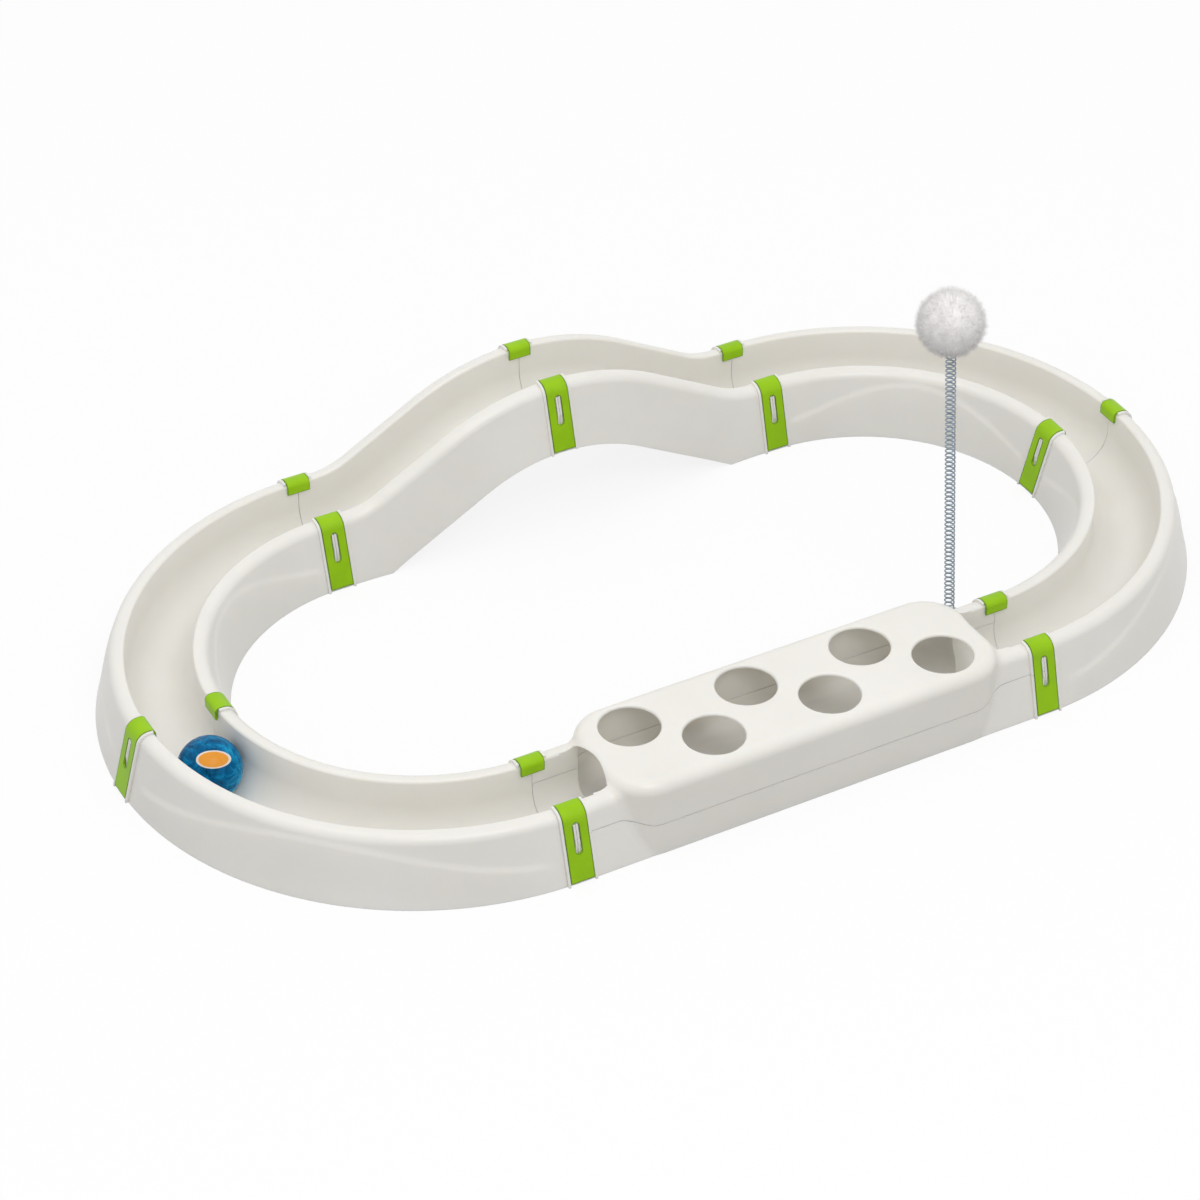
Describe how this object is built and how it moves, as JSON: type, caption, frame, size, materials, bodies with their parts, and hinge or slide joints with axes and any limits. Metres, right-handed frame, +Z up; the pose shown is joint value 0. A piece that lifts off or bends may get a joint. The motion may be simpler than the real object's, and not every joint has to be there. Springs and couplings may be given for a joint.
{
  "type": "cat ball track toy",
  "caption": "Oval ball track for cats, moulded track pieces joined by clips, with a hill, a covered tunnel with paw holes, a rolling ball and a pompom on a spring wand.",
  "frame": {"origin": "centre of the loop, on the floor", "axes": "+X along the two straights, +Y towards the hill, +Z up"},
  "size_m": [0.7614, 0.4254, 0.2719],
  "materials": {
    "track_white": "satin moulded, warm white",
    "clip_green": "satin moulded, lime green",
    "ball_blue": "clear blue, polished",
    "bell_metal": "plated steel",
    "wand_plastic": "moulded, white",
    "spring_steel": "drawn spring wire, blue grey",
    "pompom_fluff": "white fluffy fibre"
  },
  "bodies": {
    "root": {"curve_front_left": "track_white", "curve_back_left": "track_white", "curve_back_right": "track_white", "curve_front_right": "track_white", "hill_rise": "track_white", "hill_fall": "track_white", "tunnel_base": "track_white"},
    "tunnel_cover": {"tunnel_cover": "track_white"},
    "clip_left_outer": {"clip_left_outer": "clip_green"},
    "clip_left_inner": {"clip_left_inner": "clip_green"},
    "clip_hill_start_outer": {"clip_hill_start_outer": "clip_green"},
    "clip_hill_start_inner": {"clip_hill_start_inner": "clip_green"},
    "clip_crest_outer": {"clip_crest_outer": "clip_green"},
    "clip_crest_inner": {"clip_crest_inner": "clip_green"},
    "clip_hill_end_outer": {"clip_hill_end_outer": "clip_green"},
    "clip_hill_end_inner": {"clip_hill_end_inner": "clip_green"},
    "clip_right_outer": {"clip_right_outer": "clip_green"},
    "clip_right_inner": {"clip_right_inner": "clip_green"},
    "clip_tunnel_right_outer": {"clip_tunnel_right_outer": "clip_green"},
    "clip_tunnel_right_inner": {"clip_tunnel_right_inner": "clip_green"},
    "clip_tunnel_left_outer": {"clip_tunnel_left_outer": "clip_green"},
    "clip_tunnel_left_inner": {"clip_tunnel_left_inner": "clip_green"},
    "ball_bell": {"ball_bell": "bell_metal", "bell_pellet": "bell_metal"},
    "ball_shell": {"ball_outer_half": "ball_blue", "ball_inner_half": "ball_blue"},
    "wand_base": {"wand_plug": "wand_plastic", "wand_spring": "spring_steel"},
    "wand_head": {"pompom_core": "wand_plastic", "pompom": "pompom_fluff"}
  },
  "joints": [
    {"name": "cover_lift", "type": "slide", "parent": "root", "child": "tunnel_cover", "axis": [0, 0, 1], "range_m": [0, 0.06]},
    {"name": "unclip_left_outer", "type": "slide", "parent": "root", "child": "clip_left_outer", "axis": [0, 0, 1], "range_m": [0, 0.05]},
    {"name": "unclip_left_inner", "type": "slide", "parent": "root", "child": "clip_left_inner", "axis": [0, 0, 1], "range_m": [0, 0.05]},
    {"name": "unclip_hill_start_outer", "type": "slide", "parent": "root", "child": "clip_hill_start_outer", "axis": [0, 0, 1], "range_m": [0, 0.05]},
    {"name": "unclip_hill_start_inner", "type": "slide", "parent": "root", "child": "clip_hill_start_inner", "axis": [0, 0, 1], "range_m": [0, 0.05]},
    {"name": "unclip_crest_outer", "type": "slide", "parent": "root", "child": "clip_crest_outer", "axis": [0, 0, 1], "range_m": [0, 0.05]},
    {"name": "unclip_crest_inner", "type": "slide", "parent": "root", "child": "clip_crest_inner", "axis": [0, 0, 1], "range_m": [0, 0.05]},
    {"name": "unclip_hill_end_outer", "type": "slide", "parent": "root", "child": "clip_hill_end_outer", "axis": [0, 0, 1], "range_m": [0, 0.05]},
    {"name": "unclip_hill_end_inner", "type": "slide", "parent": "root", "child": "clip_hill_end_inner", "axis": [0, 0, 1], "range_m": [0, 0.05]},
    {"name": "unclip_right_outer", "type": "slide", "parent": "root", "child": "clip_right_outer", "axis": [0, 0, 1], "range_m": [0, 0.05]},
    {"name": "unclip_right_inner", "type": "slide", "parent": "root", "child": "clip_right_inner", "axis": [0, 0, 1], "range_m": [0, 0.05]},
    {"name": "unclip_tunnel_right_outer", "type": "slide", "parent": "tunnel_cover", "child": "clip_tunnel_right_outer", "axis": [0, 0, 1], "range_m": [0, 0.05]},
    {"name": "unclip_tunnel_right_inner", "type": "slide", "parent": "tunnel_cover", "child": "clip_tunnel_right_inner", "axis": [0, 0, 1], "range_m": [0, 0.05]},
    {"name": "unclip_tunnel_left_outer", "type": "slide", "parent": "tunnel_cover", "child": "clip_tunnel_left_outer", "axis": [0, 0, 1], "range_m": [0, 0.05]},
    {"name": "unclip_tunnel_left_inner", "type": "slide", "parent": "tunnel_cover", "child": "clip_tunnel_left_inner", "axis": [0, 0, 1], "range_m": [0, 0.05]},
    {"name": "ball_travel", "type": "hinge", "parent": "root", "child": "ball_bell", "pos_m": [-0.168, 0, 0.0263], "axis": [0, 0, 1], "range_deg": [-100, 77]},
    {"name": "ball_roll", "type": "hinge", "parent": "ball_bell", "child": "ball_shell", "pos_m": [-0.33257, -0.03378, 0.0263], "axis": [-0.9796, -0.2011, 0], "range_deg": [-660, 840]},
    {"name": "wand_swivel", "type": "hinge", "parent": "root", "child": "wand_base", "pos_m": [0.1518, -0.121, 0], "axis": [-0.0414, 0.0224, 0.9989], "continuous": true},
    {"name": "wand_sway", "type": "hinge", "parent": "wand_base", "child": "wand_head", "pos_m": [0.14641, -0.11809, 0.12986], "axis": [0.4756, 0.8796, 0], "range_deg": [-35, 35], "stiffness_Nm_per_rad": 0.12, "deforming": ["wand_spring"]}
  ],
  "couplings": [
    {"joint": "ball_roll", "follows": "ball_travel", "ratio": -8.1951}
  ]
}
